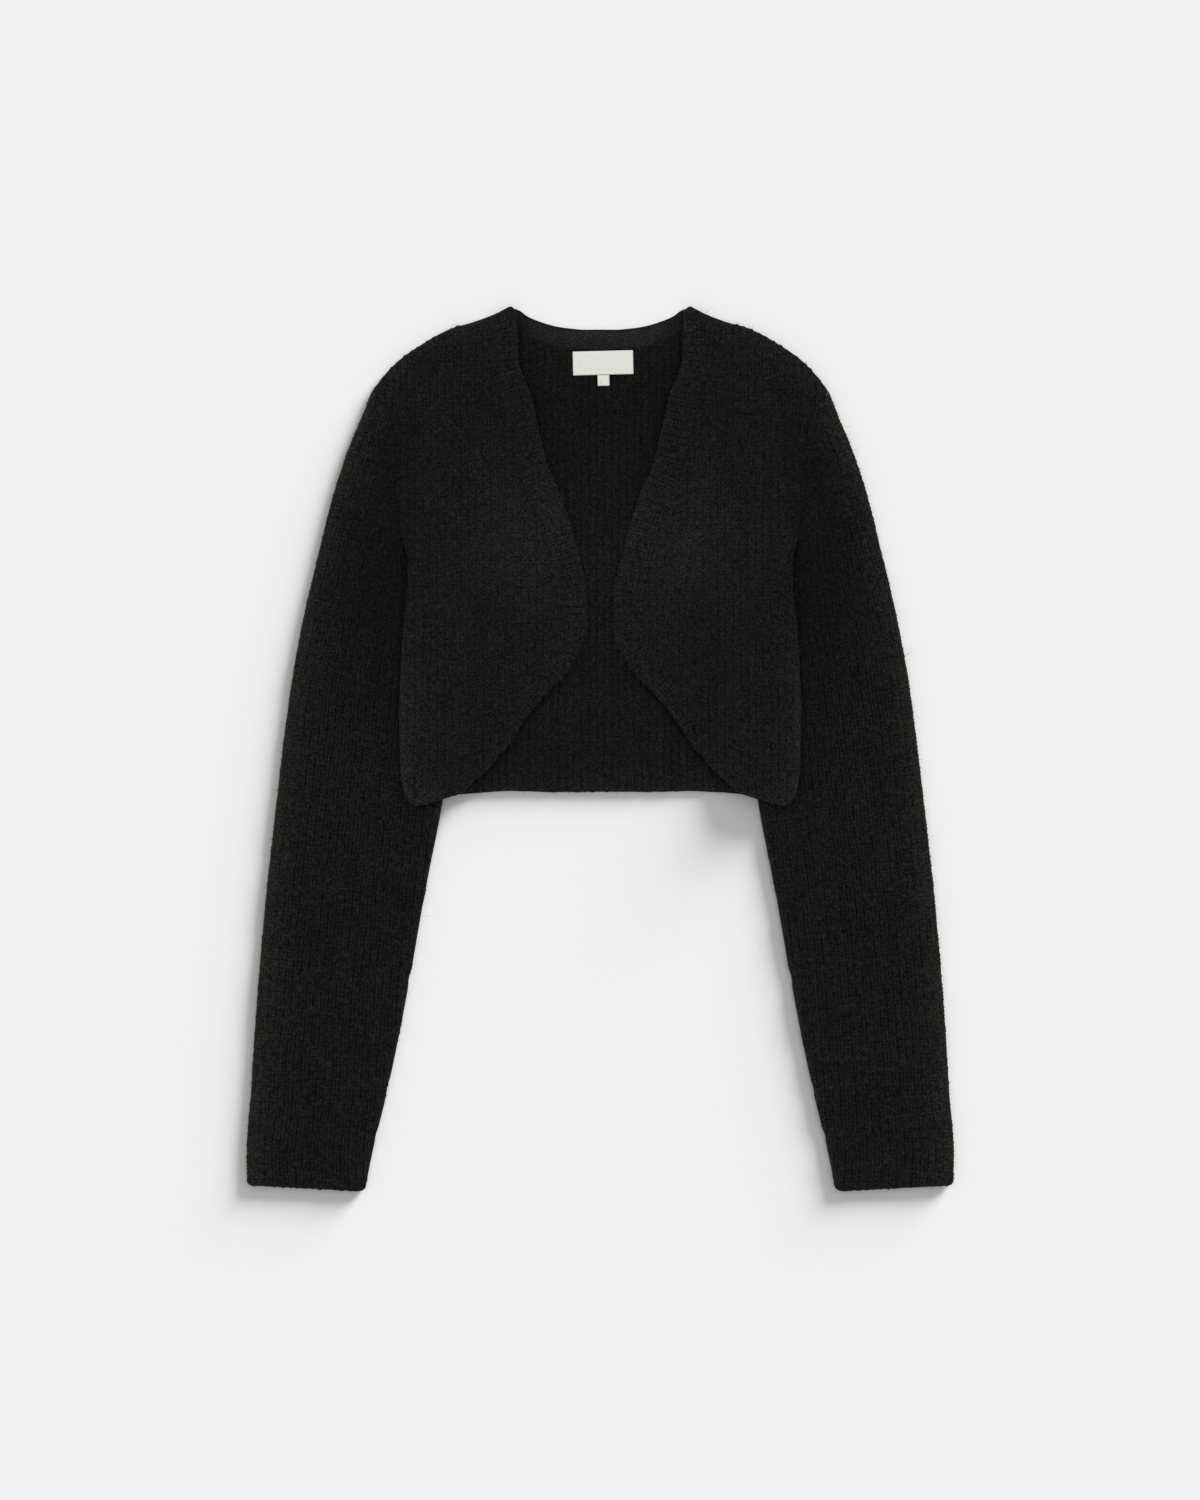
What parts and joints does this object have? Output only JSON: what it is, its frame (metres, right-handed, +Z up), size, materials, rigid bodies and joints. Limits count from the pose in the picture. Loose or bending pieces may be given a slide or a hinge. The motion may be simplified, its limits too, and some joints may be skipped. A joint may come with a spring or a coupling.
{
  "type": "knitted shrug",
  "caption": "Cropped rib-knit shrug with long sleeves and an open, rounded front, laid flat and face up.",
  "frame": {"origin": "on the floor, below the middle of the shrug's box", "axes": "+Z up out of the shrug's front as it lies face up, +Y towards its neck, +X towards the wearer's left sleeve"},
  "size_m": [0.5776, 0.724, 0.0185],
  "materials": {
    "rib_knit": "matte brushed rib knit, near black",
    "edge_band_knit": "matte brushed rib knit, near black",
    "neck_band_knit": "matte fine knit, near black",
    "label_weave": "satin woven tape, off white"
  },
  "bodies": {
    "root": {"back": "rib_knit", "front_right": "rib_knit", "front_left": "rib_knit", "sleeve_right": "rib_knit", "sleeve_left": "rib_knit", "band_right": "edge_band_knit", "band_left": "edge_band_knit", "neck_band": "neck_band_knit", "label": "label_weave", "size_tab": "label_weave"}
  },
  "joints": []
}
